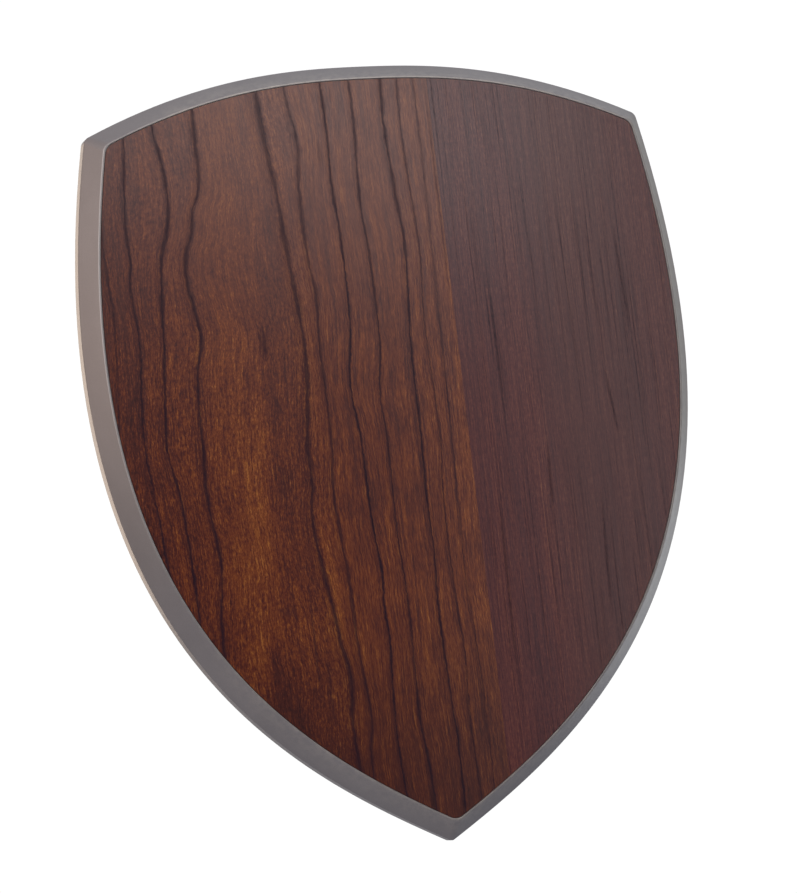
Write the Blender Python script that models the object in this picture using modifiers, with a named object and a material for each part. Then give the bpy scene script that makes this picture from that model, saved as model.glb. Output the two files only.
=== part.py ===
"""Heater-shield wall plaque: a bevelled, painted board faced with two leaves of dark veneer.

Metres, +Z up, +X to the right of someone facing the plaque, and -Y towards them. The wall is the
plane Y = 0. The origin is the point of the wall's hook that carries the raised hanger ring.
"""

import math

import bmesh
import bpy
import numpy as np
from mathutils import Matrix, Vector

MM = 0.001
GAP = 0.3 * MM                       # clearance kept between pieces that touch

# Shield outline, as coordinates from the middle of its height
HEIGHT = 254 * MM                    # apex of the top edge to the point
TOP_CORNER = Vector((95.4, 107.0)) * MM
SIDE_PULLS = (Vector((48.3, -99.9)) * MM, Vector((129.1, -51.7)) * MM)   # point to corner
TOP_PULLS = (Vector((55.1, 125.9)) * MM, Vector((24.3, 127.0)) * MM)     # corner to apex
OUTER_RADII = (3.0 * MM, 1.5 * MM)   # at the top corners, at the point
FACE_RADII = (4.5 * MM, 4.0 * MM)

# Section through the rim, from the front face backwards
THICKNESS = 11.3 * MM                # front face to the back of the back sheet
BEVEL_DEPTH = 6.65 * MM              # front face to the top of the side wall
BEVEL_INSET = 5.15 * MM              # outer edge to the front end of the slope
LAND = 0.6 * MM                      # flat margin of paint around the veneer
LEAF = 0.6 * MM                      # face veneer
BACK_SHEET = 0.6 * MM
SEAM_X = 19.6 * MM                   # the joint between the two leaves

# Hanger: a strap folded round the straight bar of a D-shaped ring, and two screws
STRAP = dict(width=10 * MM, thickness=0.8 * MM, drop=38 * MM, curl_radius=1.55 * MM)
SCREW_DROPS = (18 * MM, 31 * MM)     # below the ring's axis
RING_WIRE = 1.8 * MM
RING_HALF_WIDTH = 8 * MM             # to the middle of the wire
RING_DROP = 11 * MM                  # ring's axis to the middle of the wire at the far end
RING_CORNER = 2.0 * MM
SCREW = dict(head=5.6 * MM, head_height=1.7 * MM, shank=2.9 * MM, length=9.5 * MM, tip=2.6 * MM)

# Rubber bumpers that keep the board parallel to the wall
BUMPER = dict(diameter=12 * MM, height=5.0 * MM, edge=0.8 * MM, draft=0.4 * MM)
BUMPER_X = 50 * MM
BUMPER_Z = -52 * MM                  # from the middle of the shield's height

WALL_GAP = GAP + BUMPER["height"]
FRONT_Y = -(THICKNESS + WALL_GAP)
CORE_BACK_Y = -(WALL_GAP + BACK_SHEET + GAP)
BACK_Y = -WALL_GAP
AXIS_Z = -(RING_DROP - RING_WIRE / 2)          # the raised ring's inner top is at Z = 0
AXIS_Y = BACK_Y + GAP + STRAP["thickness"] / 2 + STRAP["curl_radius"]
MIDDLE_Z = AXIS_Z - 80 * MM                    # middle of the shield's height

SIDE_STEPS = 30
TOP_STEPS = 14
ARC_STEPS = 5


def clear_scene():
    for obj in list(bpy.data.objects):
        bpy.data.objects.remove(obj, do_unlink=True)


def make_collection(name):
    collection = bpy.data.collections.new(name)
    bpy.context.scene.collection.children.link(collection)
    return collection


def cubic(points, t):
    """Point and direction of a cubic Bezier curve."""
    a, b, c, d = points
    s = 1 - t
    place = a * s**3 + b * 3 * s * s * t + c * 3 * s * t * t + d * t**3
    along = (b - a) * 3 * s * s + (c - b) * 6 * s * t + (d - c) * 3 * t * t
    return place, along.normalized()


def inside(points, t, inset):
    """Point of the curve moved into the shield by inset. The curves run anticlockwise."""
    place, along = cubic(points, t)
    return place + Vector((-along.y, along.x)) * inset


def right_side():
    point = Vector((0, -HEIGHT / 2))
    return (point, *SIDE_PULLS, TOP_CORNER)


def right_top():
    apex = Vector((0, HEIGHT / 2))
    return (TOP_CORNER, *TOP_PULLS, apex)


def corner_params(inset):
    """Where the side and the top edge, both moved in by inset, cross: one parameter on each."""
    side, top = 1 - inset / 0.3, inset / 0.15
    for _ in range(30):
        gap = inside(side_curve, side, inset) - inside(top_curve, top, inset)
        step = 1e-5
        by_side = (inside(side_curve, side + step, inset) - inside(side_curve, side, inset)) / step
        by_top = (inside(top_curve, top + step, inset) - inside(top_curve, top, inset)) / step
        jacobian = Matrix(((by_side.x, -by_top.x), (by_side.y, -by_top.y)))
        change = jacobian.inverted() @ gap
        side -= change.x
        top -= change.y
    return side, top


def point_param(inset):
    """Where the side, moved in by inset, meets the shield's centre line near the point."""
    low, high = 0.0, 0.3
    for _ in range(50):
        middle = (low + high) / 2
        if inside(side_curve, middle, inset).x < 0:
            low = middle
        else:
            high = middle
    return high


def arc(centre, start, end, steps):
    """Points of the arc between two points about a centre, without the two ends."""
    first, last = start - centre, end - centre
    turn = first.angle_signed(last)
    return [centre + Matrix.Rotation(-turn * i / steps, 2) @ first for i in range(1, steps)]


def outline(inset, radii):
    """The shield's outline moved in by inset, with its corners and its point rounded."""
    corner_radius, point_radius = radii
    side_end, top_start = corner_params(inset + corner_radius)
    side_start = point_param(inset + point_radius)
    corner = inside(side_curve, side_end, inset + corner_radius)
    point = inside(side_curve, side_start, inset + point_radius)
    sides = [inside(side_curve, t, inset) for t in np.linspace(side_start, side_end, SIDE_STEPS)]
    tops = [inside(top_curve, t, inset) for t in np.linspace(top_start, 1, TOP_STEPS)]
    below = Vector((0, point.y - point_radius))
    half = [below, *arc(point, below, sides[0], ARC_STEPS), *sides]
    half += [*arc(corner, sides[-1], tops[0], ARC_STEPS), *tops]
    return half + [Vector((-p.x, p.y)) for p in reversed(half[1:-1])]


def add_object(name, mesh, material, collection):
    obj = bpy.data.objects.new(name, mesh)
    collection.objects.link(obj)
    if material:
        mesh.materials.clear()
        mesh.materials.append(material)
    return obj


def add_loft(name, sections, material, collection):
    """A closed solid through outlines of equal length, each standing at its own Y."""
    bm = bmesh.new()
    rings = [
        [bm.verts.new((p.x, y, p.y + MIDDLE_Z)) for p in points] for points, y in sections
    ]
    count = len(rings[0])
    for back, front in zip(rings, rings[1:]):
        for i in range(count):
            j = (i + 1) % count
            bm.faces.new((back[i], back[j], front[j], front[i]))
    bm.faces.new(rings[0])
    bm.faces.new(rings[-1])
    bmesh.ops.recalc_face_normals(bm, faces=bm.faces)
    mesh = bpy.data.meshes.new(name)
    bm.to_mesh(mesh)
    bm.free()
    return add_object(name, mesh, material, collection)


def add_sheet(name, points, thickness, front_y, material, collection):
    """A flat sheet cut to an outline: a filled curve, stood upright and made a mesh."""
    curve = bpy.data.curves.new(name, "CURVE")
    curve.dimensions = "2D"
    curve.fill_mode = "BOTH"
    curve.extrude = thickness / 2
    spline = curve.splines.new("POLY")
    spline.points.add(len(points) - 1)
    for target, p in zip(spline.points, points):
        target.co = (p.x, p.y, 0, 1)
    spline.use_cyclic_u = True
    guide = bpy.data.objects.new(name + "_outline", curve)
    guide.location = (0, front_y + thickness / 2, MIDDLE_Z)
    guide.rotation_euler = (math.radians(90), 0, 0)
    collection.objects.link(guide)
    bpy.context.view_layer.update()
    graph = bpy.context.evaluated_depsgraph_get()
    mesh = bpy.data.meshes.new_from_object(guide.evaluated_get(graph))
    place = guide.matrix_world.copy()
    bpy.data.objects.remove(guide, do_unlink=True)
    bm = bmesh.new()
    bm.from_mesh(mesh)
    bmesh.ops.remove_doubles(bm, verts=bm.verts, dist=1e-6)
    bmesh.ops.transform(bm, matrix=place, verts=bm.verts)
    bmesh.ops.recalc_face_normals(bm, faces=bm.faces)
    bm.to_mesh(mesh)
    bm.free()
    mesh.name = name
    return add_object(name, mesh, material, collection)


def trim_at_seam(obj, edge_x, keep_left):
    """Cuts the sheet at a vertical line, closes the cut and keeps one side of it."""
    bm = bmesh.new()
    bm.from_mesh(obj.data)
    normal = (1, 0, 0) if keep_left else (-1, 0, 0)
    everything = bm.verts[:] + bm.edges[:] + bm.faces[:]
    bmesh.ops.bisect_plane(
        bm, geom=everything, plane_co=(edge_x, 0, 0), plane_no=normal, clear_outer=True
    )
    bmesh.ops.holes_fill(bm, edges=[e for e in bm.edges if e.is_boundary])
    bmesh.ops.recalc_face_normals(bm, faces=bm.faces)
    bm.to_mesh(obj.data)
    bm.free()


def add_hole_cutter(name, radius, z, front_y, back_y):
    """A round cutter along Y."""
    bpy.ops.mesh.primitive_cylinder_add(
        vertices=32,
        radius=radius,
        depth=back_y - front_y,
        location=(0, (front_y + back_y) / 2, z),
        rotation=(math.radians(90), 0, 0),
    )
    cutter = bpy.context.object
    cutter.name = name
    for owner in list(cutter.users_collection):
        owner.objects.unlink(cutter)
    cutters.objects.link(cutter)
    cutter.hide_render = True
    cutter.display_type = "WIRE"
    return cutter


def cut(obj, cutter):
    modifier = obj.modifiers.new(cutter.name, "BOOLEAN")
    modifier.operation = "DIFFERENCE"
    modifier.solver = "EXACT"
    modifier.object = cutter


def smooth(obj, angle=40):
    obj.data.shade_smooth()
    obj.data.set_sharp_from_angle(angle=math.radians(angle))


def material(name, colour, roughness, metallic=0.0):
    made = bpy.data.materials.new(name)
    made.use_nodes = True
    shader = made.node_tree.nodes["Principled BSDF"]
    shader.inputs["Base Color"].default_value = (*colour, 1)
    shader.inputs["Roughness"].default_value = roughness
    shader.inputs["Metallic"].default_value = metallic
    made.diffuse_color = (*colour, 1)
    return made


def pewter_paint():
    return material("pewter_paint", (0.26, 0.22, 0.20), 0.42, 0.5)


def crown_cut_veneer():
    return material("crown_cut_veneer", (0.060, 0.022, 0.015), 0.38)


def quarter_cut_veneer():
    return material("quarter_cut_veneer", (0.095, 0.050, 0.046), 0.38)


def backing_veneer():
    return material("backing_veneer", (0.12, 0.065, 0.035), 0.6)


def plated_steel():
    return material("plated_steel", (0.62, 0.60, 0.56), 0.32, 1.0)


def bumper_rubber():
    return material("bumper_rubber", (0.03, 0.03, 0.032), 0.7)


def core_board():
    """The board: recessed on the front for the veneer, sloped all round, drilled for the screws."""
    recess = BEVEL_INSET + LAND
    sections = (
        (outline(0, OUTER_RADII), CORE_BACK_Y),
        (outline(0, OUTER_RADII), FRONT_Y + BEVEL_DEPTH),
        (outline(BEVEL_INSET, FACE_RADII), FRONT_Y),
        (outline(recess, FACE_RADII), FRONT_Y),
        (outline(recess, FACE_RADII), FRONT_Y + LEAF + GAP),
    )
    board = add_loft("core_board", sections, pewter_paint(), plaque)
    depth = screw_seat_y() - SCREW["length"] - GAP
    for i, drop in enumerate(SCREW_DROPS):
        radius = SCREW["shank"] / 2 + GAP
        z = AXIS_Z - drop
        cut(board, add_hole_cutter(f"pilot_hole_{i + 1}", radius, z, depth, BACK_Y))
    return board


def front_leaves():
    """The two leaves of face veneer, with a straight upright joint between them."""
    points = outline(BEVEL_INSET + LAND + GAP, FACE_RADII)
    left = add_sheet("front_leaf_left", points, LEAF, FRONT_Y, crown_cut_veneer(), plaque)
    trim_at_seam(left, SEAM_X - GAP / 2, True)
    right = add_sheet("front_leaf_right", points, LEAF, FRONT_Y, quarter_cut_veneer(), plaque)
    trim_at_seam(right, SEAM_X + GAP / 2, False)


def back_sheet():
    """The balancing sheet that covers the whole back."""
    points = outline(0, OUTER_RADII)
    sheet = add_sheet("back_sheet", points, BACK_SHEET, BACK_Y - BACK_SHEET, backing_veneer(), plaque)
    for i, drop in enumerate(SCREW_DROPS):
        radius = SCREW["shank"] / 2 + GAP
        z = AXIS_Z - drop
        cut(sheet, add_hole_cutter(f"sheet_hole_{i + 1}", radius, z, CORE_BACK_Y, BACK_Y + 1 * MM))


def screw_seat_y():
    """The plane under the screw heads."""
    return BACK_Y + GAP + STRAP["thickness"] + GAP


def hanger_strap(steel):
    """The strap: flat along the back, and curled round the ring's bar at its upper end."""
    plate_y = BACK_Y + GAP + STRAP["thickness"] / 2
    radius = STRAP["curl_radius"]
    line = [Vector((0, plate_y, AXIS_Z - STRAP["drop"]))]
    line += [Vector((0, plate_y, AXIS_Z - 30 * MM)), Vector((0, plate_y, AXIS_Z - 4 * MM))]
    for angle in np.linspace(180, -80, 24):
        turn = math.radians(angle)
        across = Vector((0, radius * math.cos(turn), radius * math.sin(turn)))
        line.append(Vector((0, AXIS_Y, AXIS_Z)) + across)
    half = Vector((STRAP["width"] / 2, 0, 0))
    bm = bmesh.new()
    left = [bm.verts.new(p - half) for p in line]
    right = [bm.verts.new(p + half) for p in line]
    for i in range(len(line) - 1):
        bm.faces.new((left[i], right[i], right[i + 1], left[i + 1]))
    corners = [left[0], right[0]]
    bmesh.ops.bevel(
        bm, geom=corners, offset=4.2 * MM, segments=7, profile=0.5, affect="VERTICES"
    )
    mesh = bpy.data.meshes.new("hanger_strap")
    bm.to_mesh(mesh)
    bm.free()
    strap = add_object("hanger_strap", mesh, steel, plaque)
    solid = strap.modifiers.new("sheet_metal", "SOLIDIFY")
    solid.thickness = STRAP["thickness"]
    solid.offset = 0
    for i, drop in enumerate(SCREW_DROPS):
        z = AXIS_Z - drop
        hole = add_hole_cutter(f"strap_hole_{i + 1}", 1.8 * MM, z, BACK_Y - 1 * MM, BACK_Y + 3 * MM)
        cut(strap, hole)
    smooth(strap)


def ring_path():
    """The middle line of the D ring, hanging below its axis, in the ring's own X and Z."""
    wide, corner = RING_HALF_WIDTH, RING_CORNER
    bend_z = -(RING_DROP - RING_HALF_WIDTH)
    points = [Vector((x, 0, 0)) for x in np.linspace(-(wide - corner), wide - corner, 5)]
    for turn in np.radians(np.linspace(90, 0, 7))[1:]:
        x = wide - corner + corner * math.cos(turn)
        points.append(Vector((x, 0, -corner + corner * math.sin(turn))))
    for turn in np.radians(np.linspace(0, -180, 23)):
        points.append(Vector((wide * math.cos(turn), 0, bend_z + wide * math.sin(turn))))
    for turn in np.radians(np.linspace(180, 90, 7))[:-1]:
        x = -(wide - corner) + corner * math.cos(turn)
        points.append(Vector((x, 0, -corner + corner * math.sin(turn))))
    return points


def hanger_ring(steel):
    """The D ring, with its origin on the axis that it swings about."""
    curve = bpy.data.curves.new("hanger_ring", "CURVE")
    curve.dimensions = "3D"
    curve.bevel_depth = RING_WIRE / 2
    curve.bevel_resolution = 3
    points = ring_path()
    spline = curve.splines.new("POLY")
    spline.points.add(len(points) - 1)
    for target, p in zip(spline.points, points):
        target.co = (*p, 1)
    spline.use_cyclic_u = True
    spline.use_smooth = True
    curve.materials.append(steel)
    ring = bpy.data.objects.new("hanger_ring", curve)
    ring.location = (0, AXIS_Y, AXIS_Z)
    plaque.objects.link(ring)


def hanger_screw(name, z, steel):
    """A round-headed wood screw, turned about Y, with a straight slot."""
    head, height = SCREW["head"] / 2, SCREW["head_height"]
    shank, length = SCREW["shank"] / 2, SCREW["length"]
    profile = [(0, height)]
    for turn in np.radians(np.linspace(75, 0, 6)):
        profile.append((head * math.cos(turn), height * 0.35 + height * 0.65 * math.sin(turn)))
    profile += [(head, 0), (shank, 0), (shank, SCREW["tip"] - length), (0, -length)]
    bm = bmesh.new()
    verts = [bm.verts.new((r, 0, z_along)) for r, z_along in profile]
    for a, b in zip(verts, verts[1:]):
        bm.edges.new((a, b))
    mesh = bpy.data.meshes.new(name)
    bm.to_mesh(mesh)
    bm.free()
    obj = add_object(name, mesh, steel, plaque)
    turned = obj.modifiers.new("turned", "SCREW")
    turned.axis = "Z"
    turned.steps = 32
    turned.render_steps = 32
    turned.use_merge_vertices = True
    turned.merge_threshold = 1e-5
    turned.use_smooth_shade = True
    obj.location = (0, screw_seat_y(), z)
    obj.rotation_euler = (math.radians(-90), 0, 0)
    bpy.ops.mesh.primitive_cube_add(size=1, location=(0, screw_seat_y() + height, z))
    slot = bpy.context.object
    slot.name = name + "_slot"
    slot.scale = (6.5 * MM, 1.7 * MM, 0.8 * MM)
    for owner in list(slot.users_collection):
        owner.objects.unlink(slot)
    cutters.objects.link(slot)
    slot.hide_render = True
    slot.display_type = "WIRE"
    cut(obj, slot)


def bumper(name, x, rubber):
    """A rubber bumper, turned about Y, with its flat end at the wall."""
    base, height = BUMPER["diameter"] / 2, BUMPER["height"]
    edge, face = BUMPER["edge"], BUMPER["diameter"] / 2 - BUMPER["draft"]
    profile = [(0, height)]
    for turn in np.radians(np.linspace(90, 0, 6)):
        x_out = face - edge + edge * math.cos(turn)
        profile.append((x_out, height - edge + edge * math.sin(turn)))
    profile += [(base, 0), (0, 0)]
    bm = bmesh.new()
    verts = [bm.verts.new((r, 0, z_along)) for r, z_along in profile]
    for a, b in zip(verts, verts[1:]):
        bm.edges.new((a, b))
    mesh = bpy.data.meshes.new(name)
    bm.to_mesh(mesh)
    bm.free()
    obj = add_object(name, mesh, rubber, plaque)
    turned = obj.modifiers.new("turned", "SCREW")
    turned.axis = "Z"
    turned.steps = 48
    turned.render_steps = 48
    turned.use_merge_vertices = True
    turned.merge_threshold = 1e-5
    turned.use_smooth_shade = True
    obj.location = (x, BACK_Y + GAP, MIDDLE_Z + BUMPER_Z)
    obj.rotation_euler = (math.radians(-90), 0, 0)


clear_scene()
plaque = make_collection("shield_plaque")
cutters = make_collection("cutters")
side_curve = right_side()
top_curve = right_top()

core_board()
front_leaves()
back_sheet()
steel = plated_steel()
hanger_strap(steel)
hanger_ring(steel)
hanger_screw("hanger_screw_upper", AXIS_Z - SCREW_DROPS[0], steel)
hanger_screw("hanger_screw_lower", AXIS_Z - SCREW_DROPS[1], steel)
rubber = bumper_rubber()
bumper("bumper_left", -BUMPER_X, rubber)
bumper("bumper_right", BUMPER_X, rubber)
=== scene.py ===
"""The looks of a heater-shield wall plaque: pewter paint, two leaves of dark veneer, steel hanger.

Metres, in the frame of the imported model: +Z up, -Y towards someone facing the plaque, the wall at
Y = 0. In the wood's patterns, across and up are millimetres from the middle of the shield.
"""

import math

import bmesh
import bpy
from mathutils import Matrix, Quaternion, Vector


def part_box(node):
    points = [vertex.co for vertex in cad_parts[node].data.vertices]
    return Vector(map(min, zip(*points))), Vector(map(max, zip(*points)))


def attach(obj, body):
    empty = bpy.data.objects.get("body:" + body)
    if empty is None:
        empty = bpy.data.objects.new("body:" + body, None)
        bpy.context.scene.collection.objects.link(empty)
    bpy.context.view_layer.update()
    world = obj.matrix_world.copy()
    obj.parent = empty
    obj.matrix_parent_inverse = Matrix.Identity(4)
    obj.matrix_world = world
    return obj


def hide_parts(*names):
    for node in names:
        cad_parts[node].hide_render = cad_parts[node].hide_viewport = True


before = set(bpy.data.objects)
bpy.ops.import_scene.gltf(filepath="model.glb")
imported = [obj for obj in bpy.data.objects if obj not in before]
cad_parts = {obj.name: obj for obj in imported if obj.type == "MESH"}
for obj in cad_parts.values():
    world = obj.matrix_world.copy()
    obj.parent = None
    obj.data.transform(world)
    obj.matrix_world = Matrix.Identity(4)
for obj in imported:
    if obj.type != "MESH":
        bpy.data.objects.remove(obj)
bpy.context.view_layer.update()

MM = 0.001
CLOSE = 1e-6
UPRIGHT = math.radians(90)           # turns what lies flat up to stand like the shield

# Shield outline, as coordinates from the middle of its height
HEIGHT = 254 * MM
TOP_CORNER = Vector((95.4, 107.0)) * MM
SIDE_PULLS = (Vector((48.3, -99.9)) * MM, Vector((129.1, -51.7)) * MM)
TOP_PULLS = (Vector((55.1, 125.9)) * MM, Vector((24.3, 127.0)) * MM)
OUTER_RADII = (3.0 * MM, 1.5 * MM)   # at the top corners, at the point
FACE_RADII = (4.5 * MM, 4.0 * MM)

# Section through the rim
BEVEL_DEPTH = 6.65 * MM
BEVEL_INSET = 5.15 * MM
LAND = 0.6 * MM                      # the flat paint between the slope and the veneer
LEAF = 0.6 * MM                      # thickness of the face veneer
LEAF_MARGIN = 0.16 * MM              # the fine dark line round the veneer
BACK_SHEET = 0.6 * MM                # thickness of the back sheet
SEAM_X = 19.6 * MM
SEAM_GAP = 0.04 * MM

FRONT_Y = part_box("front_leaf_left")[0].y
BACK_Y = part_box("back_sheet")[1].y
MIDDLE_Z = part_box("core_board")[1].z - HEIGHT / 2
STRAP_LOW, STRAP_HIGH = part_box("hanger_strap")
RING_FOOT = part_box("hanger_ring")[0].z

# Hanger: the ring's axis, the strap's curl about it in degrees, the screws' heights
STRAP_THICK = 0.8 * MM
CURL = 260
CURL_RADIUS = 1.55 * MM              # to the middle of the strap's metal
AXIS = Vector((0, STRAP_LOW.y + STRAP_THICK / 2 + CURL_RADIUS, STRAP_LOW.z + 38 * MM))
SCREWS_Z = (AXIS.z - 18 * MM, AXIS.z - 31 * MM)
SCREW_HEAD = 1.7 * MM                # how far a screw's head stands up

# How many pieces the outline's curves are drawn in
SIDE_STEPS = 60
TOP_STEPS = 26
ARC_STEPS = 8

# Where the shield is seen from, the point looked at, the camera's turn and its lens
CAMERA_PLACE = Vector((-0.32122, -0.91827, -0.17764))
CAMERA_AIM = Vector((-0.00495, -0.0166, -0.08972))
CAMERA_ROLL = -6.722
CAMERA_LENS = 120.249


# ---------------------------------------------------------------- working at the bench

def work_on(obj):
    bpy.ops.object.select_all(action="DESELECT")
    obj.select_set(True)
    bpy.context.view_layer.objects.active = obj


def pick(kind, test):
    """Selects the corners, edges or faces of the piece being edited that pass a test."""
    bpy.ops.mesh.select_mode(type=kind)
    bpy.ops.mesh.select_all(action="DESELECT")
    mesh = bpy.context.object.data
    bm = bmesh.from_edit_mesh(mesh)
    for part in {"VERT": bm.verts, "EDGE": bm.edges, "FACE": bm.faces}[kind]:
        if test(part):
            part.select_set(True)
    bmesh.update_edit_mesh(mesh)


def edge_at(y):
    """A test for edges that lie at one depth."""
    return lambda edge: all(abs(v.co.y - y) < CLOSE for v in edge.verts)


def fill(test):
    """Closes the loop of edges that pass a test with one face."""
    pick("EDGE", test)
    bpy.ops.mesh.edge_face_add()


def push(y):
    """Draws what is selected out along Y."""
    bpy.ops.mesh.extrude_region_move(TRANSFORM_OT_translate={"value": (0, y, 0)})


def round_edges(test, width, segments):
    pick("EDGE", test)
    bpy.ops.mesh.bevel(offset=width, segments=segments, affect="EDGES")


def face_outwards():
    bpy.ops.mesh.select_all(action="SELECT")
    bpy.ops.mesh.normals_make_consistent(inside=False)


def leave_edit():
    """Turns the faces outwards and ends the editing."""
    face_outwards()
    bpy.ops.object.mode_set(mode="OBJECT")


def merge_corners():
    bpy.ops.mesh.select_all(action="SELECT")
    bpy.ops.mesh.remove_doubles(threshold=CLOSE)


def put_together(pieces):
    """One object of several, with their meshes untouched."""
    bpy.ops.object.select_all(action="DESELECT")
    for piece in pieces:
        piece.select_set(True)
    bpy.context.view_layer.objects.active = pieces[0]
    bpy.ops.object.join()
    return bpy.context.object


def named(piece, name):
    piece.name = piece.data.name = name
    return piece


def settle():
    """Puts the piece's place into its mesh."""
    bpy.ops.object.transform_apply(location=True, rotation=True, scale=True)
    return bpy.context.object


def apply_modifier(piece, kind, **settings):
    work_on(piece)
    modifier = piece.modifiers.new(kind.lower(), kind)
    for name, value in settings.items():
        setattr(modifier, name, value)
    bpy.ops.object.modifier_apply(modifier=modifier.name)


def finish_piece(piece, body, node, finishes, smooth=35):
    """Smooths a piece, gives it its finishes and its place in the model."""
    work_on(piece)
    bpy.ops.object.shade_smooth_by_angle(angle=math.radians(smooth))
    # Wide faces keep their own direction, and only the narrow rounded ones bend between them
    apply_modifier(piece, "WEIGHTED_NORMAL", keep_sharp=True, weight=100)
    for number, finish in enumerate(finishes):
        if number < len(piece.material_slots):
            piece.material_slots[number].material = finish
        else:
            piece.data.materials.append(finish)
    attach(piece, body)
    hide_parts(node)
    return piece


def cut_away(piece, cutter):
    """Cuts one piece out of another and throws the cutter away."""
    apply_modifier(piece, "BOOLEAN", operation="DIFFERENCE", solver="EXACT", object=cutter)
    bpy.data.objects.remove(cutter, do_unlink=True)


# ---------------------------------------------------------------- the shield's outline

def cubic(points, t):
    a, b, c, d = points
    s = 1 - t
    place = a * s**3 + b * 3 * s * s * t + c * 3 * s * t * t + d * t**3
    along = (b - a) * 3 * s * s + (c - b) * 6 * s * t + (d - c) * 3 * t * t
    return place, along.normalized()


def inside(points, t, inset):
    place, along = cubic(points, t)
    return place + Vector((-along.y, along.x)) * inset


side_curve = (Vector((0, -HEIGHT / 2)), *SIDE_PULLS, TOP_CORNER)
top_curve = (TOP_CORNER, *TOP_PULLS, Vector((0, HEIGHT / 2)))


def corner_params(inset):
    """Where the side and the top edge, both moved in, cross: one parameter on each."""
    side, top = 1 - inset / 0.3, inset / 0.15
    for _ in range(30):
        gap = inside(side_curve, side, inset) - inside(top_curve, top, inset)
        step = 1e-5
        by_side = (inside(side_curve, side + step, inset) - inside(side_curve, side, inset)) / step
        by_top = (inside(top_curve, top + step, inset) - inside(top_curve, top, inset)) / step
        change = Matrix(((by_side.x, -by_top.x), (by_side.y, -by_top.y))).inverted() @ gap
        side -= change.x
        top -= change.y
    return side, top


def point_param(inset):
    """Where the side, moved in, meets the shield's centre line near the point."""
    low, high = 0.0, 0.3
    for _ in range(50):
        middle = (low + high) / 2
        if inside(side_curve, middle, inset).x < 0:
            low = middle
        else:
            high = middle
    return high


def arc(centre, start, end, steps):
    first, last = start - centre, end - centre
    turn = first.angle_signed(last)
    return [centre + Matrix.Rotation(-turn * i / steps, 2) @ first for i in range(1, steps)]


def spread(low, high, steps):
    return [low + (high - low) * i / (steps - 1) for i in range(steps)]


def outline(inset, radii):
    """The shield's outline moved in, with its corners and its point rounded."""
    corner_radius, point_radius = radii
    side_end, top_start = corner_params(inset + corner_radius)
    side_start = point_param(inset + point_radius)
    corner = inside(side_curve, side_end, inset + corner_radius)
    point = inside(side_curve, side_start, inset + point_radius)
    sides = [inside(side_curve, t, inset) for t in spread(side_start, side_end, SIDE_STEPS)]
    tops = [inside(top_curve, t, inset) for t in spread(top_start, 1, TOP_STEPS)]
    below = Vector((0, point.y - point_radius))
    half = [below, *arc(point, below, sides[0], ARC_STEPS), *sides]
    half += [*arc(corner, sides[-1], tops[0], ARC_STEPS), *tops]
    return half + [Vector((-p.x, p.y)) for p in reversed(half[1:-1])]


def template(inset, radii, y):
    """The outline as one closed line of edges, standing at its depth."""
    curve = bpy.data.curves.new("template", "CURVE")
    points = outline(inset, radii)
    spline = curve.splines.new("POLY")
    spline.points.add(len(points) - 1)
    for target, p in zip(spline.points, points):
        target.co = (p.x, p.y, 0, 1)
    spline.use_cyclic_u = True
    line = bpy.data.objects.new("template", curve)
    bpy.context.scene.collection.objects.link(line)
    work_on(line)
    bpy.ops.object.convert(target="MESH")
    line = bpy.context.object
    line.location = (0, y, MIDDLE_Z)
    line.rotation_euler = (UPRIGHT, 0, 0)
    return settle()


def strip(first, second):
    """The band of faces between two outlines."""
    band = put_together([template(*first), template(*second)])
    bpy.ops.object.mode_set(mode="EDIT")
    bpy.ops.mesh.select_all(action="SELECT")
    bpy.ops.mesh.bridge_edge_loops()
    bpy.ops.object.mode_set(mode="OBJECT")
    return band


# ---------------------------------------------------------------- finishes

class Wire:
    """One output of a finish's nodes. Sums on wires add Math nodes."""

    def __init__(self, finish, socket):
        self.finish, self.socket = finish, socket

    def sum(self, operation, *others):
        return self.finish.add("Math", {"operation": operation}, dict(enumerate((self, *others))))

    def __add__(self, other):
        return self.sum("ADD", other)

    __radd__ = __add__

    def __sub__(self, other):
        return self.sum("SUBTRACT", other)

    def __rsub__(self, other):
        return self.finish.add("Math", {"operation": "SUBTRACT"}, {0: other, 1: self})

    def __mul__(self, other):
        return self.sum("MULTIPLY", other)

    __rmul__ = __mul__

    def __abs__(self):
        return self.sum("ABSOLUTE")

    def most(self, other):
        return self.sum("MAXIMUM", other)

    def least(self, other):
        return self.sum("MINIMUM", other)

    def fade(self, low, high, start=0.0, end=1.0):
        """A soft step from start at low to end at high."""
        ends = {"Value": self, "From Min": low, "From Max": high, "To Min": start, "To Max": end}
        return self.finish.add("MapRange", {"interpolation_type": "SMOOTHSTEP"}, ends)

    def share(self, low, high):
        """How far the value is from low to high, kept within 0 and 1."""
        return self.finish.add("MapRange", {}, {"Value": self, "From Min": low, "From Max": high})


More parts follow.
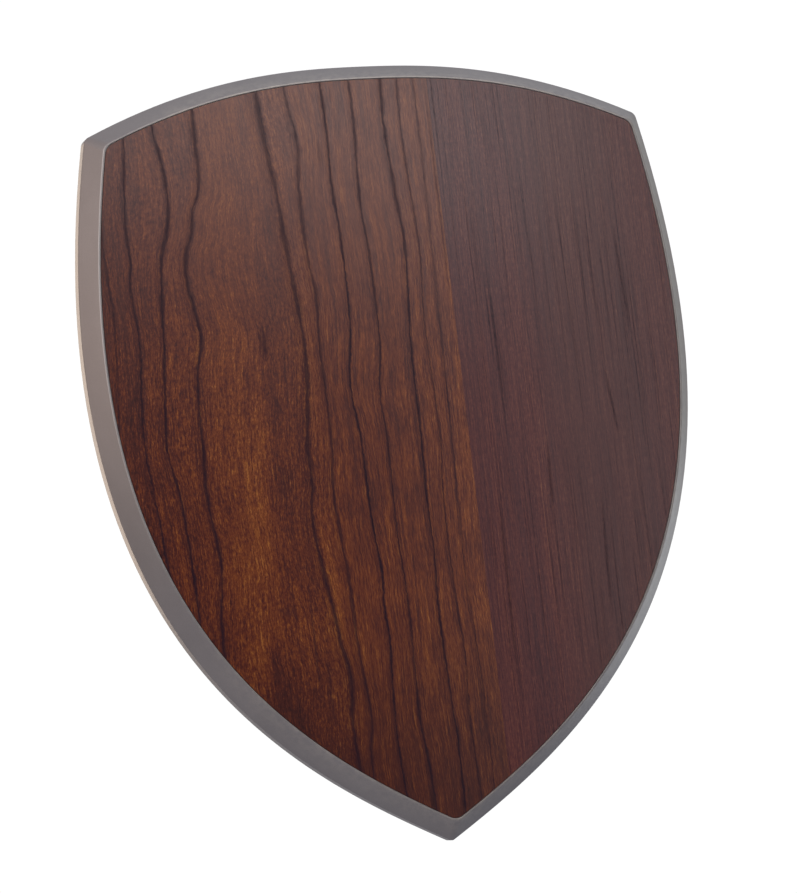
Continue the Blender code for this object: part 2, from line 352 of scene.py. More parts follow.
class Finish:
    """A material being mixed: its nodes, and the shader that they feed."""

    def __init__(self, name):
        self.material = bpy.data.materials.new(name)
        self.material.use_nodes = True
        self.tree = self.material.node_tree
        self.shader = self.tree.nodes["Principled BSDF"]
        place = self.add("SeparateXYZ", {}, {0: self.add("TexCoord", {}, {}, "Object")}, None)
        self.x = Wire(self, place.outputs["X"]) * (1 / MM)
        self.y = Wire(self, place.outputs["Y"]) * (1 / MM)
        self.z = Wire(self, place.outputs["Z"]) * (1 / MM) - MIDDLE_Z / MM

    def add(self, kind, settings, values, output=0):
        """A node of a kind, with its settings and then its sockets' values or wires."""
        node = self.tree.nodes.new("ShaderNode" + kind)
        for name, value in settings.items():
            if name == "stops":
                self.set_stops(node.color_ramp, value)
            elif name == "points":
                self.set_points(node.mapping, value)
            else:
                setattr(node, name, value)
        for name, value in values.items():
            self.feed(node.inputs[name], value)
        return node if output is None else Wire(self, node.outputs[output])

    def feed(self, socket, value):
        if isinstance(value, Wire):
            self.tree.links.new(value.socket, socket)
        else:
            socket.default_value = value

    def set_stops(self, ramp, stops):
        while len(ramp.elements) < len(stops):
            ramp.elements.new(1)
        for element, (place, colour) in zip(ramp.elements, stops):
            element.position = place
            element.color = (*colour, 1)

    def set_points(self, mapping, points):
        curve = mapping.curves[0]
        while len(curve.points) < len(points):
            curve.points.new(0.5, 0.5)
        for target, place in zip(curve.points, sorted(points)):
            target.location = place
        mapping.update()

    def noise(self, x, y, z, detail=2.0, roughness=0.5):
        """Noise from 0 to 1 with a middle of 0.5, at coordinates already scaled."""
        place = self.add("CombineXYZ", {}, {0: x, 1: y, 2: z})
        values = {"Vector": place, "Scale": 1.0, "Detail": detail, "Roughness": roughness}
        return self.add("TexNoise", {"noise_type": "FBM"}, values)

    def ramp(self, value, stops):
        return self.add("ValToRGB", {"stops": stops}, {0: value})

    def mix(self, factor, first, second):
        """From the first colour to the second by a factor from 0 to 1."""
        first, second = ((*c, 1) if isinstance(c, tuple) else c for c in (first, second))
        return self.add("Mix", {"data_type": "RGBA"}, {0: factor, 6: first, 7: second}, 2)

    def bump(self, height, distance):
        """A relief of a height from 0 to 1, with its depth in millimetres."""
        return self.add("Bump", {}, {"Height": height, "Distance": distance * MM})

    def set(self, **values):
        for name, value in values.items():
            self.feed(self.shader.inputs[name.replace("_", " ")], value)
        return self.material


def growth_line(finish, points):
    """How far across a growth line runs at each height: a curve through the given points."""
    foot, tall, left, wide = -127, 254, -110, 140
    places = [((up - foot) / tall, (across - left) / wide) for up, across in points]
    height = (finish.z - foot) * (1 / tall)
    curve = finish.add("FloatCurve", {"points": places}, {"Value": height})
    return curve * wide + left


# Dark growth lines of the crown-cut leaf from left to right: strength, half width, nominal gap to
# the line before, then the line itself as (up, across)
GROWTH_LINES = (
    (0.60, 0.45, 0, ((127, -93), (75, -95), (60, -94.5), (50, -93.8), (40, -94.1), (15, -96))),
    (0.85, 0.55, 7, ((127, -83), (105, -84.5), (90, -85.9), (74, -87), (66, -86.6), (58, -87.4),
                     (38, -86.4), (28, -87.4), (6, -88.3), (-10, -87), (-27, -85.6), (-60, -84))),
    (0.88, 0.75, 8, ((127, -76), (108, -74.9), (93, -72.5), (79, -72.7), (66, -76.3), (53, -77.7),
                     (37, -78.8), (13, -80.9), (4, -81.2), (-8, -79.1), (-26, -77.7), (-60, -77))),
    (0.85, 0.85, 9, ((127, -61), (102, -61.3), (86, -62.2), (81, -64.6), (74, -65.6), (67, -68.3),
                     (61, -69.1), (48, -67.4), (40, -66.3), (30, -68.6), (2, -69.9), (-9, -70.2),
                     (-33, -68.1), (-50, -69.9), (-80, -70))),
    (0.80, 1.20, 33, ((127, -40), (105, -38.4), (86, -36.3), (66, -34.9), (48, -33.4), (32, -32.6),
                      (12, -34.3), (1, -35.5), (-7, -35.3), (-22, -36.5), (-38, -34.8),
                      (-50, -33), (-62, -31.6), (-70, -30), (-86, -30.9), (-110, -29.5))),
    (0.72, 0.75, 7, ((127, -30), (112, -28.8), (105, -27.4), (84, -28.5), (62, -28.1), (50, -26.8),
                     (38, -27.5), (0, -27.4), (-10, -28.5), (-39, -26.9), (-66, -26), (-76, -25),
                     (-87, -24.6), (-95, -25.8), (-110, -25.8))),
    (0.95, 0.55, 10, ((127, -17.6), (105, -16.9), (84, -17.2), (73, -16.4), (50, -16.1),
                      (39, -16.6), (21, -18.8), (6, -17.4), (-24, -16.7), (-40, -15.5),
                      (-51, -16), (-60, -15.4), (-70, -16), (-89, -16.7), (-112, -15.8))),
    (0.85, 0.55, 9, ((127, -8), (108, -7.2), (92, -8), (78, -8.2), (67, -7.4), (41, -7), (33, -7.2),
                     (18, -9.1), (6, -8.5), (-30, -8.7), (-45, -8), (-76, -8.3), (-88, -8.5),
                     (-98, -7.4), (-115, -6.4))),
    (0.90, 0.60, 11, ((127, 3.8), (104, 3), (93, 3.5), (81, 4.2), (68, 5.3), (56, 4.9), (33, 3.4),
                      (2, 3.1), (-14, 2.6), (-36, 2.9), (-49, 2.2), (-80, 2.8), (-98, 3.5),
                      (-118, 3.1))),
    (0.72, 0.42, 6, ((127, 9.7), (106, 8.7), (75, 9.8), (65, 10.2), (39, 8.9), (16, 9.5),
                     (-2, 9.5), (-13, 8.5), (-50, 8.4), (-71, 9.3), (-80, 8.7), (-112, 9))),
    (0.55, 0.42, 5, ((127, 14.6), (107, 14.9), (60, 14.5), (16, 13.8), (-25, 13), (-44, 12.6),
                     (-62, 13.5), (-98, 14), (-118, 13.8))),
)


def crown_cut_veneer():
    """Dark stained cherry, crown cut: dark growth lines that wander, orange and purple between."""
    wood = Finish("crown_cut_veneer")
    x, z = wood.x, wood.z
    across = x + (wood.noise(x * 0.12, 4, z * 0.30, 3, 0.65) * 1.1 - 0.55)
    lines = [growth_line(wood, points) for *_, points in GROWTH_LINES]
    gaps = [gap for _, _, gap, _ in GROWTH_LINES[1:]]

    # Across the grain, measured from line to line, so that the grain follows the lines
    flow = (across - lines[0]).least(0)
    for left, right, gap in zip(lines, lines[1:], gaps):
        flow = flow + across.share(left, right) * gap
    flow = flow + (across - lines[-1]).most(0)

    # The dark lines, each with a sharp right edge and a softer left one, and all softer higher up
    waver = wood.noise(x * 0.09, 7, z * 0.09, 3, 0.65).fade(0.28, 0.72, 0.45, 1.5)
    blur = z.fade(20, 95, 1.0, 1.35)
    ragged = wood.noise(x * 1.4, 9, z * 0.6, 3, 0.7) * 0.9 - 0.45
    dark = 0.0
    for line, (strength, half_width, _, _) in zip(lines, GROWTH_LINES):
        side = across - line + ragged
        skirt = side.fade(-4.5 * half_width, 0, 0, 0.34) * side.fade(0, 1.8 * half_width, 1, 0)
        core = abs(side).fade(blur * waver * (1.28 * half_width), 0, 0, 1)
        dark = (core.most(skirt) * strength).most(dark)

    # Dark dashes and smudges between the lines
    smudges = ((-40.4, -58, 0.5, 17, 0.5), (-46, 37, 1.6, 5, 0.55), (-44.5, -8, 1.0, 6, 0.45),
               (-48, -49, 3.0, 1.6, 0.3), (-37, -76, 0.6, 10, 0.4), (-20.2, -3, 0.4, 9, 0.35),
               (18.7, 82, 0.4, 34, 0.5), (-62, 93, 2.4, 10, 0.22), (-20, 97, 0.7, 4, 0.4))
    for mark_x, mark_z, wide, tall, strength in smudges:
        spot = abs(across - mark_x).fade(wide * 1.6, 0)
        spot = spot * abs(z - mark_z).fade(tall * 1.3, tall * 0.4)
        dark = (spot * strength).most(dark)

    # Grain between the lines
    fleck = wood.noise(flow * 2.5, 31, z * 0.42, 2, 0.8) - 0.5
    fibre = wood.noise(flow * 1.7, 11, z * 0.10, 3, 0.85) - 0.5
    broken = wood.noise(flow * 1.3, 37, z * 0.80, 2, 0.8) - 0.5
    thread = wood.noise(flow * 1.5, 41, z * 0.030, 3, 0.75) - 0.5
    streak = wood.noise(flow * 0.50, 17, z * 0.022, 3, 0.6) - 0.5
    cloud = wood.noise(flow * 0.13, 19, z * 0.045, 3, 0.55) - 0.5

    # Broad tones: orange flames right of the third line, purple beyond, browner to the left edge
    flame = x.fade(-66, -58) * x.fade(-46, -54) * z.fade(28, 5, 0.25, 1) * z.fade(-78, -68)
    flame = flame * z.fade(-22, -50, 1, 0.5)
    tongue = abs(x + 31.3 - (z + 30) * 0.06).fade(4, 1) * z.fade(-12, -26) * z.fade(-100, -85)
    flame = flame.most(tongue)
    flame = flame.most(x.fade(15, 17) * z.fade(45, 20) * 0.3)
    shade = x.fade(-52, -45) * x.fade(-35, -40) * z.fade(95, 45) * z.fade(-62, -25)
    shade = shade.most(x.fade(-62, -71) * 0.6).most(x.fade(-74, -90) * 1.9)
    middle = x.fade(-30, -20) * x.fade(9, 1) * z.fade(70, 45) * z.fade(-50, -15)
    shade = shade.most(middle * 0.65)
    shade = shade.most(x.fade(-43, -39) * x.fade(-31, -34) * z.fade(-55, -68) * 0.8)
    wedge_half = (-58 - z) * 0.24 + 1.2
    wedge = abs(across + 53 - (z + 60) * 0.02).share(wedge_half + 3, wedge_half - 2)
    wedge = wedge * z.fade(-54, -64)

    # Short broken grain on the left, long threads on the right, and all of it calmer near the top
    short = x.fade(-22, -38)
    tone = fleck * short.fade(0, 1, 0.85, 1.35) + fibre * 1.5
    tone = tone + thread * short.fade(0, 1, 0.8, 0.2) + broken * short * 0.9
    tone = 0.48 + tone * z.fade(75, 15, 0.62, 1) + streak * 0.55 + cloud * 0.4
    # The last term is painted shade: the leaf is made darker towards the bottom, where less light
    # falls
    tone = tone + flame * 0.13 - shade * 0.09 - wedge * 0.25 - z.fade(-70, -118) * 0.14
    colour = wood.ramp(tone, (
        (0.02, (0.0240, 0.0030, 0.0030)),
        (0.30, (0.0550, 0.0078, 0.0038)),
        (0.50, (0.0940, 0.0165, 0.0042)),
        (0.70, (0.1480, 0.0350, 0.0058)),
        (1.00, (0.2700, 0.0930, 0.0150)),
    ))
    # Painted shade: the colour is mixed towards near-black towards the bottom of the leaf, where
    # less light falls
    colour = wood.mix(z.fade(-35, -115) * 0.36, colour, (0.0200, 0.0045, 0.0040))
    stain = (dark * blur.fade(1, 1.35, 1, 0.86)).least(1)
    colour = wood.mix(stain, colour, (0.0090, 0.0030, 0.0090))

    relief = fleck * 0.5 + fibre * 0.5 - dark * 0.3
    return wood.set(
        Base_Color=colour,
        Roughness=0.42 - fleck * 0.15,
        Specular_IOR_Level=0.08,
        Coat_Weight=1.0 + fleck * 0.9 + fibre * 0.5 - dark * 0.75,
        Coat_Roughness=0.225,
        Normal=wood.bump(relief, 0.010),
    )


def quarter_cut_veneer():
    """The same stain on quarter-cut wood: straight fine stripes, greyer and more open."""
    wood = Finish("quarter_cut_veneer")
    x, z = wood.x, wood.z
    across = x + wood.noise(x * 0.04, 3, z * 0.012, 2) * 1.6 - 0.8
    stripe = wood.noise(across * 0.55, 5, z * 0.010, 3, 0.7) - 0.5
    thread = wood.noise(across * 1.8, 7, z * 0.035, 3, 0.8) - 0.5
    fibre = wood.noise(across * 2.6, 9, z * 0.40, 2, 0.8) - 0.5
    cross = wood.noise(across * 0.5, 15, z * 0.9, 2, 0.6) - 0.5
    band = wood.noise(across * 0.08, 17, z * 0.006, 2, 0.5) - 0.5
    tone = 0.5 + stripe * 0.55 + thread * 1.0 + fibre * 1.0 + cross * 0.25 + band * 0.5
    colour = wood.ramp(tone, (
        (0.02, (0.0160, 0.0020, 0.0056)),
        (0.32, (0.0400, 0.0052, 0.0078)),
        (0.52, (0.0620, 0.0092, 0.0090)),
        (0.72, (0.0900, 0.0175, 0.0110)),
        (1.00, (0.1500, 0.0420, 0.0170)),
    ))
    browner = x.fade(38, 60) * x.fade(74, 92, 0.40, 0.25)
    colour = wood.mix(browner, colour, (0.0400, 0.0100, 0.0080))

    # Fine near-black threads, and a few longer marks
    threads = wood.noise(across * 1.9, 21, z * 0.011, 2, 0.6).fade(0.55, 0.66, 0, 0.7)
    marks = ((71, 9, 14, -0.1), (62.5, -40, 26, 0.03), (46, -14, 15, 0.05),
             (33, 30, 30, 0.0), (27, -45, 40, 0.02), (80, 50, 24, -0.04))
    for mark_x, mark_z, length, lean in marks:
        off = abs(across - mark_x - (z - mark_z) * lean)
        mark = off.fade(0.8, 0.1) * abs(z - mark_z).fade(length, length * 0.2) * 0.75
        threads = mark.most(threads)
    threads = threads * fibre.fade(-0.3, 0.2, 1, 0.5)
    colour = wood.mix(threads, colour, (0.0085, 0.0030, 0.0070))
    relief = thread * 0.6 + fibre * 0.5 - threads * 0.3 + 0.5
    return wood.set(
        Base_Color=colour,
        Roughness=0.42 - fibre * 0.15,
        Specular_IOR_Level=0.08,
        Coat_Weight=1.0 + fibre * 0.9 + thread * 0.5 - threads * 0.9,
        Coat_Roughness=0.225,
        Normal=wood.bump(relief, 0.012),
    )


def pewter_paint():
    """Satin pewter paint: fine metal flake over filler, a little cloudy, rubbed on its arrises and
    with a painted highlight there.
    """
    paint = Finish("pewter_paint")
    x, y, z = paint.x, paint.y, paint.z
    cloud = paint.noise(x * 0.05, y * 0.1, z * 0.05, 2, 0.5) - 0.5
    flake = paint.noise(x * 4.5, y * 4.5, z * 4.5, 2, 0.7) - 0.5
    peel = paint.noise(x * 1.1, y * 1.1, z * 1.1, 2, 0.5)
    # The paler colour on the front arris is partly rubbed paint and partly a painted highlight
    rub_and_highlight = paint.add("Attribute", {"attribute_name": "rubbed"}, {}, "Fac")
    rub_and_highlight = rub_and_highlight * paint.noise(x * 0.4, y * 0.4, z * 0.4, 3, 0.7).fade(0.35, 0.65, 0.25, 1)
    # The painted highlight fades out towards the left edge, where the light does not catch the
    # arris
    rub_and_highlight = rub_and_highlight * x.fade(-60, -84).fade(0, 1, 1, 0.1)
    tone = 0.5 + cloud * 0.35 + flake * 0.6
    colour = paint.ramp(tone, (
        (0.1, (0.170, 0.156, 0.155)),
        (0.5, (0.222, 0.204, 0.202)),
        (0.9, (0.290, 0.266, 0.262)),
    ))
    colour = paint.mix(rub_and_highlight * 0.28, colour, (0.38, 0.34, 0.29))
    return paint.set(
        Base_Color=colour,
        Metallic=0.65 - rub_and_highlight * 0.15,
        Roughness=0.42 + cloud * 0.06 + flake * 0.12 - rub_and_highlight * 0.05,
        Normal=paint.bump(peel * 0.8 + flake * 0.2, 0.012),
    )


def backing_veneer():
    """Plain balancing veneer on the back: sanded, thinly sealed, with open grain."""
    wood = Finish("backing_veneer")
    x, z = wood.x, wood.z
    across = x + wood.noise(x * 0.02, 3, z * 0.02, 2) * 6
    stripe = wood.noise(across * 0.25, 5, z * 0.01, 3, 0.6) - 0.5
    thread = wood.noise(across * 1.6, 7, z * 0.06, 3, 0.65) - 0.5
    pores = wood.noise(across * 3.5, 9, z * 0.25, 2, 0.5).fade(0.62, 0.72)
    sanding = wood.noise(x * 0.2, 15, z * 5, 2, 0.6) - 0.5
    tone = 0.5 + stripe * 0.7 + thread * 0.5 + sanding * 0.1
    colour = wood.ramp(tone, (
        (0.1, (0.075, 0.034, 0.018)),
        (0.5, (0.125, 0.066, 0.036)),
        (0.9, (0.185, 0.105, 0.060)),
    ))
    colour = wood.mix(pores * 0.6, colour, (0.035, 0.016, 0.010))
    return wood.set(
        Base_Color=colour,
        Roughness=0.62 + thread * 0.2,
        Normal=wood.bump(thread * 0.7 - pores * 0.6 + sanding * 0.2, 0.04),
    )


def plated_steel():
    """Zinc-plated steel: rolled lines, faint handling marks and a little cloudiness."""
    steel = Finish("plated_steel")
    x, y, z = steel.x, steel.y, steel.z
    rolled = steel.noise(x * 5, y * 5, z * 0.25, 3, 0.6) - 0.5
    cloud = steel.noise(x * 0.25, y * 0.25, z * 0.25, 2, 0.5) - 0.5
    scratch = steel.noise(x * 0.9 + z * 5, y * 4, z * 0.4 - x * 0.2, 3, 0.6).fade(0.68, 0.75)
    tone = 0.5 + rolled * 0.5 + cloud * 0.6
    colour = steel.ramp(tone, (
        (0.1, (0.360, 0.350, 0.325)),
        (0.5, (0.450, 0.440, 0.410)),
        (0.9, (0.540, 0.530, 0.500)),
    ))
    return steel.set(
        Base_Color=colour,
        Metallic=1.0,
        Roughness=0.30 + cloud * 0.12 + scratch * 0.12 + rolled * 0.14,
        Normal=steel.bump(rolled * 0.6 + scratch * 0.3, 0.004),
    )


def bumper_rubber():
    """Moulded black rubber with a fine spark texture and a little dust."""
    rubber = Finish("bumper_rubber")
    x, y, z = rubber.x, rubber.y, rubber.z
    grain = rubber.noise(x * 3, y * 3, z * 3, 3, 0.7)
    dust = rubber.noise(x * 0.5, y * 0.5, z * 0.5, 3, 0.6).fade(0.5, 0.8)
    colour = rubber.mix(dust * 0.35, (0.022, 0.022, 0.024), (0.075, 0.072, 0.068))
    return rubber.set(
        Base_Color=colour,
        Roughness=0.62 + grain * 0.2,
        Normal=rubber.bump(grain, 0.05),
    )


# ---------------------------------------------------------------- the pieces

def painted_board(paint):
    """The board: upright edge, long slope, narrow flat land and the recess for the veneer."""
    recess = BEVEL_INSET + LAND
    slope_low, slope_high = FRONT_Y + BEVEL_DEPTH, FRONT_Y
    rows = (
        (0, OUTER_RADII, BACK_Y - BACK_SHEET),
        (0, OUTER_RADII, slope_low),
        (BEVEL_INSET, FACE_RADII, slope_high),
        (recess, FACE_RADII, slope_high),
        (recess, FACE_RADII, slope_high + LEAF + 0.1 * MM),
    )
    board = named(put_together([strip(a, b) for a, b in zip(rows, rows[1:])]), "painted_board")
    bpy.ops.object.mode_set(mode="EDIT")
    merge_corners()
    face_outwards()
    for depth in (rows[0][2], rows[-1][2]):
        fill(edge_at(depth))
    face_outwards()

    def leans(edge, low, high):
        """Whether one of the edge's faces leans forward within these limits."""
        return any(low < -face.normal.y < high for face in edge.link_faces)

    round_edges(lambda e: edge_at(slope_high)(e) and leans(e, 0.3, 0.9), 0.30 * MM, 4)
    round_edges(edge_at(slope_low), 0.35 * MM, 3)
    round_edges(lambda e: edge_at(slope_high)(e) and leans(e, -0.1, 0.1), 0.10 * MM, 2)
    bpy.ops.object.mode_set(mode="OBJECT")
    mark_rub_and_highlight(board)
    return finish_piece(board, "plaque", "core_board", [paint], 25)


def mark_rub_and_highlight(piece):
    """Marks the corners on the front arris, where hands rub the paint and where the paint carries a
    painted highlight.
    """
    rubbed = piece.data.attributes.new("rubbed", "FLOAT", "POINT")
    for corner, mark in zip(piece.data.vertices, rubbed.data):
        mark.value = 1.0 if corner.co.y < FRONT_Y + 0.4 * MM else 0.0


def thick_sheet(name, inset, radii, y, thickness):
    """A flat sheet in the shield's outline, from one depth to another, left being edited."""
    sheet = named(template(inset, radii, y), name)
    bpy.ops.object.mode_set(mode="EDIT")
    bpy.ops.mesh.select_all(action="SELECT")
    bpy.ops.mesh.edge_face_add()
    push(thickness)
    face_outwards()
    return sheet


def face_leaf(name, finish, keep_left):
    """One leaf of the face veneer, cut at the upright joint."""
    leaf = thick_sheet(name + "_veneer", BEVEL_INSET + LAND + LEAF_MARGIN, FACE_RADII,
                       FRONT_Y + LEAF, -LEAF)
    round_edges(edge_at(FRONT_Y), 0.12 * MM, 2)
    bpy.ops.mesh.select_all(action="SELECT")
    joint = SEAM_X - SEAM_GAP / 2 if keep_left else SEAM_X + SEAM_GAP / 2
    bpy.ops.mesh.bisect(
        plane_co=(joint, 0, 0), plane_no=(1, 0, 0), use_fill=True,
        clear_outer=keep_left, clear_inner=not keep_left,
    )
    leave_edit()
    return finish_piece(leaf, "plaque", name, [finish])


def balancing_sheet(veneer, paint):
    """The back sheet, with the rim's paint carried over its edge."""
    sheet = thick_sheet("balancing_sheet", 0, OUTER_RADII, BACK_Y - BACK_SHEET, BACK_SHEET)
    round_edges(edge_at(BACK_Y), 0.2 * MM, 2)
    bpy.ops.object.mode_set(mode="OBJECT")
    sheet.data.materials.append(veneer)
    sheet.data.materials.append(paint)
    for face in sheet.data.polygons:
        face.material_index = 0 if abs(face.normal.y) > 0.99 else 1
    sheet.data.attributes.new("rubbed", "FLOAT", "POINT")
    return finish_piece(sheet, "plaque", "back_sheet", [veneer, paint])


def turned(name, centre, profile, sides):
    """A piece turned about Y: its profile as (radius, distance along Y from the centre)."""
    (radius, start), *rest = profile
    bpy.ops.mesh.primitive_circle_add(vertices=sides, radius=radius, rotation=(UPRIGHT, 0, 0),
                                      location=centre + Vector((0, start, 0)))
    piece = named(settle(), name)
    bpy.ops.object.mode_set(mode="EDIT")
    bpy.ops.mesh.select_all(action="SELECT")
    bpy.ops.mesh.edge_face_add()
    pick("EDGE", lambda edge: True)
    for next_radius, along in rest:
        push(along - start)
        size = next_radius / radius
        bpy.ops.transform.resize(value=(size, 1, size),
                                 center_override=centre + Vector((0, along, 0)))
        radius, start = next_radius, along
    leave_edit()
    return piece


def close_face(piece, test):
    """Fills the open end of a turned piece."""
    bpy.ops.object.mode_set(mode="EDIT")
    fill(test)
    bpy.ops.object.mode_set(mode="OBJECT")


def rounded(face, top, edge, steps):
    """The profile of a rounded edge, from the side up to the face."""
    turns = [math.radians(90 * i / steps) for i in range(steps + 1)]
    return [(face - edge + edge * math.cos(t), top - edge + edge * math.sin(t)) for t in turns]


def strap(steel):
    """The strap: a flat strip with a round end, curled round the ring's bar, with two holes."""
    low, high = STRAP_LOW, STRAP_HIGH
    plate_y = low.y + STRAP_THICK / 2
    length = AXIS.z - low.z
    bpy.ops.mesh.primitive_plane_add(size=1, rotation=(UPRIGHT, 0, 0),
                                     location=(0, plate_y, AXIS.z - length / 2))
    bpy.context.object.scale = (high.x - low.x, length, 1)
    piece = named(settle(), "curled_strap")
    bpy.ops.object.mode_set(mode="EDIT")
    pick("VERT", lambda v: v.co.z < low.z + 1 * MM)
    bpy.ops.mesh.bevel(offset=4.2 * MM, segments=10, affect="VERTICES")
    pick("EDGE", lambda e: all(v.co.z > AXIS.z - CLOSE for v in e.verts))
    bpy.ops.mesh.spin(steps=30, angle=math.radians(CURL), center=AXIS, axis=(1, 0, 0))
    leave_edit()
    apply_modifier(piece, "SOLIDIFY", thickness=STRAP_THICK, offset=0)
    for screw_z in SCREWS_Z:
        bpy.ops.mesh.primitive_cylinder_add(vertices=48, radius=1.8 * MM, depth=4 * MM,
                                            rotation=(UPRIGHT, 0, 0),
                                            location=(0, plate_y, screw_z))
        cut_away(piece, settle())
    apply_modifier(piece, "BEVEL", width=0.12 * MM, segments=2, limit_method="ANGLE",
                   angle_limit=math.radians(50))
    return finish_piece(piece, "plaque", "hanger_strap", [steel], 28)


def d_ring(steel):
    """The D ring: one wire bent round from the middle of its bar and joined there."""
    wire, wide, corner = 0.9 * MM, 8 * MM, 2 * MM
    slack = 0.04 * MM
    bend = AXIS + Vector((0, 0, RING_FOOT + wire + wide - AXIS.z))
    bpy.ops.mesh.primitive_circle_add(vertices=20, radius=wire - slack,
                                      rotation=(0, math.radians(90), 0), location=AXIS)
    ring = named(settle(), "d_ring")
    bpy.ops.object.mode_set(mode="EDIT")
    bpy.ops.mesh.select_all(action="SELECT")

    def run(x, z):
        bpy.ops.mesh.extrude_region_move(TRANSFORM_OT_translate={"value": (x, 0, z)})

    def turn(steps, angle, centre):
        bpy.ops.mesh.spin(steps=steps, angle=math.radians(-angle), center=centre,
                          axis=(0, 1, 0))

    run(wide - corner, 0)
    turn(10, 90, AXIS + Vector((wide - corner, 0, -corner)))
    run(0, bend.z - AXIS.z + corner)
    turn(40, 180, bend)
    run(0, AXIS.z - corner - bend.z)
    turn(10, 90, AXIS + Vector((corner - wide, 0, -corner)))
    run(wide - corner, 0)
    merge_corners()
    leave_edit()
    return finish_piece(ring, "ring", "hanger_ring", [steel], 60)


def screw(node, steel):
    """A round-headed wood screw with a straight slot and a cut thread."""
    low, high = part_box(node)
    seat = Vector((0, high.y - SCREW_HEAD, (low.z + high.z) / 2))
    head = (high.z - low.z) / 2
    core, crest, pitch, rim = 1.0 * MM, 1.4 * MM, 1.2 * MM, 0.6 * MM
    profile = [(0.1 * MM, low.y - seat.y), (0.75 * MM, -8.0 * MM)]
    for turn in range(5):
        along = turn * pitch - 7.6 * MM
        profile += [(core, along), (crest, along + 0.45 * MM), (core, along + 0.9 * MM)]
    profile += [(crest, -1.2 * MM), (crest, 0.02 * MM)]
    profile += [(head - 0.05 * MM, 0.02 * MM), (head, 0.1 * MM)]
    dome = [math.radians(8 * step) for step in range(11)]
    rise = (SCREW_HEAD - rim) / math.sin(dome[-1])
    profile += [(head * math.cos(angle), rim + rise * math.sin(angle)) for angle in dome]
    piece = turned(node.replace("hanger_", "") + "_turned", seat, profile, 40)
    close_face(piece, lambda e: all(v.co.y > high.y - CLOSE for v in e.verts))
    bpy.ops.mesh.primitive_cube_add(size=1, location=(0, high.y, seat.z))
    slot = bpy.context.object
    slot.scale = (6.5 * MM, 1.7 * MM, 0.8 * MM)
    cut_away(piece, settle())
    return finish_piece(piece, "plaque", node, [steel], 30)


def bumper(node, rubber):
    """A moulded rubber bumper: thin flange, tapered side, rounded edge and a dimple in its face."""
    low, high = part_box(node)
    centre = Vector(((low.x + high.x) / 2, low.y, (low.z + high.z) / 2))
    base, tall = (high.x - low.x) / 2, high.y - low.y
    edge, dimple, dimple_radius = 0.8 * MM, 0.8 * MM, 1.5 * MM
    profile = [(base - 0.15 * MM, 0), (base, 0.12 * MM)]
    profile += [(base, 0.5 * MM), (base - 0.22 * MM, 0.62 * MM)]
    profile += rounded(base - 0.4 * MM, tall, edge, 6)
    profile += [(2.3 * MM, tall), (2.05 * MM, tall - 0.08 * MM)]
    profile += [(1.8 * MM, tall - 0.6 * MM), (dimple_radius, tall - dimple)]
    piece = turned(node + "_moulded", centre, profile, 64)
    bottom = low.y + tall - dimple

    def in_dimple(corner):
        reach = (corner.co - centre).xz.length
        return abs(corner.co.y - bottom) < CLOSE and reach < dimple_radius + 0.1 * MM

    close_face(piece, lambda e: all(in_dimple(v) for v in e.verts))
    return finish_piece(piece, "plaque", node, [rubber], 32)


# ---------------------------------------------------------------- light, floor and camera

def toward(azimuth, elevation, distance):
    """A place seen from the middle of the shield: degrees right of -Y and up, and metres."""
    across, up = math.radians(azimuth), math.radians(elevation)
    flat = distance * math.cos(up)
    return Vector((flat * math.sin(across), -flat * math.cos(across),
                   MIDDLE_Z + distance * math.sin(up)))


def soft_light(name, place, size, power, colour, turn=0):
    """A soft rectangle of light aimed at the shield, turned on its own axis by some degrees."""
    bpy.ops.object.light_add(type="AREA", location=place)
    light = bpy.context.object
    light.name = name
    light.data.shape = "RECTANGLE"
    light.data.size, light.data.size_y = size
    light.data.energy = power
    light.data.color = colour
    level = (Vector((0, 0, MIDDLE_Z)) - place).to_track_quat("-Z", "Y")
    light.rotation_euler = (level @ Quaternion((0, 0, 1), math.radians(turn))).to_euler()
    light.visible_camera = False


def tent():
    """A pale room: brightest behind the plaque, warm on the left, dimmer low down."""
    world = bpy.data.worlds.new("pale_room")
    bpy.context.scene.world = world
    world.use_nodes = True
    nodes, links = world.node_tree.nodes, world.node_tree.links
    place = nodes.new("ShaderNodeTexCoord")

    def band(direction, stops):
        """Tones that change along one direction of the room, from its far end to its near end."""
        along = nodes.new("ShaderNodeVectorMath")
        along.operation = "DOT_PRODUCT"
        along.inputs[1].default_value = direction
        share = nodes.new("ShaderNodeMapRange")
        share.inputs["From Min"].default_value = -1
        tone = nodes.new("ShaderNodeValToRGB")
        while len(tone.color_ramp.elements) < len(stops):
            tone.color_ramp.elements.new(1)
        for element, (where, colour) in zip(tone.color_ramp.elements, stops):
            element.position = where
            element.color = (*colour, 1)
        links.new(place.outputs["Generated"], along.inputs[0])
        links.new(along.outputs["Value"], share.inputs["Value"])
        links.new(share.outputs[0], tone.inputs["Fac"])
        return tone.outputs["Color"]

    def grey(value):
        return (value, value, value)

    def both(first, second):
        blend = nodes.new("ShaderNodeMix")
        blend.data_type = "RGBA"
        blend.blend_type = "MULTIPLY"
        blend.inputs[0].default_value = 1
        links.new(first, blend.inputs[6])
        links.new(second, blend.inputs[7])
        return blend.outputs[2]

    depth = band((0.33, 0.94, 0.09), ((0.0, grey(0.56)), (0.36, grey(0.56)), (0.84, grey(0.50)),
                                      (0.91, grey(0.54)), (0.975, grey(1))))
    side = band((1, 0, 0), ((0.0, (0.92, 0.74, 0.67)), (0.35, (0.96, 0.83, 0.77)), (0.5, grey(1))))
    height = band((0, 0, 1), ((0.15, (0.60, 0.61, 0.65)), (0.42, grey(1)), (0.62, grey(1)),
                              (0.88, (1.20, 1.26, 1.40))))
    links.new(both(both(depth, side), height), nodes["Background"].inputs["Color"])
    nodes["Background"].inputs["Strength"].default_value = 1.03


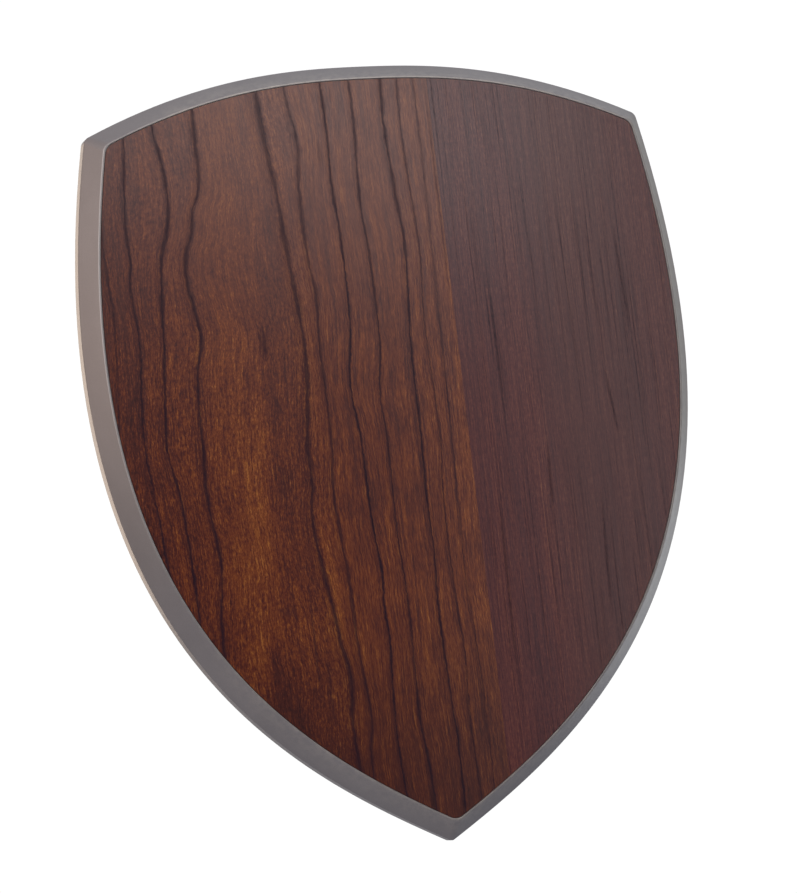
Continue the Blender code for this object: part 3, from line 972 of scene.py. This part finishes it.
def studio():
    """A softbox above, a low one on the right, a fill on the left, three for the rim, a card."""
    tent()
    soft_light("softbox", toward(17.3, 34.3, 1.5), (1.125, 0.793), 7.3, (1.0, 0.99, 0.98), 68)
    soft_light("low_light", toward(33.4, 3.7, 1.4), (0.56, 0.65), 1.22, (0.98, 0.99, 1.0))
    soft_light("fill", toward(-45, 22, 1.5), (1.2, 1.2), 13.5, (1.0, 0.99, 0.98))
    soft_light("warm_side", toward(-86, 14, 1.3), (0.6, 0.7), 1.2, (1.0, 0.74, 0.60))
    soft_light("warm_back", toward(-155, 5, 1.4), (0.9, 0.9), 5.0, (1.0, 0.82, 0.64))
    soft_light("cool_back", toward(122, -14, 1.4), (0.7, 0.6), 1.05, (0.84, 0.93, 1.0))

    # What the dark polished face looks back at
    bpy.ops.mesh.primitive_plane_add(size=3.3, rotation=(UPRIGHT, 0, math.radians(14)),
                                     location=toward(14, 3, 2.1))
    card = settle()
    card.name = "dark_card"
    card.visible_camera = False
    card.data.materials.append(plain_cover("dark_cloth", (0.02, 0.02, 0.022)))

    bpy.ops.mesh.primitive_circle_add(vertices=96, radius=1.6, fill_type="NGON",
                                      location=(0, 0, MIDDLE_Z - 0.6))
    floor = bpy.context.object
    floor.name = "floor"
    settle()
    floor.data.materials.append(plain_cover("pale_floor", (0.40, 0.42, 0.47)))


def plain_cover(name, colour):
    """A plain matt material for what stands round the plaque."""
    cover = bpy.data.materials.new(name)
    cover.use_nodes = True
    shader = cover.node_tree.nodes["Principled BSDF"]
    shader.inputs["Base Color"].default_value = (*colour, 1)
    shader.inputs["Roughness"].default_value = 0.85
    return cover


def camera():
    """Seen from the left and from a little below, with the camera turned slightly on its axis."""
    bpy.ops.object.camera_add(location=CAMERA_PLACE)
    seen = bpy.context.object
    level = (CAMERA_AIM - CAMERA_PLACE).to_track_quat("-Z", "Y")
    seen.rotation_euler = (level @ Quaternion((0, 0, 1), math.radians(CAMERA_ROLL))).to_euler()
    seen.data.sensor_width = 36
    seen.data.lens = CAMERA_LENS
    seen.data.clip_start = 0.01
    bpy.context.scene.camera = seen


bpy.context.scene.view_settings.view_transform = "Standard"
studio()
camera()

paint = pewter_paint()
backing = backing_veneer()
painted_board(paint)
face_leaf("front_leaf_left", crown_cut_veneer(), True)
face_leaf("front_leaf_right", quarter_cut_veneer(), False)
balancing_sheet(backing, paint)

steel = plated_steel()
rubber = bumper_rubber()
strap(steel)
d_ring(steel)
screw("hanger_screw_upper", steel)
screw("hanger_screw_lower", steel)
bumper("bumper_left", rubber)
bumper("bumper_right", rubber)
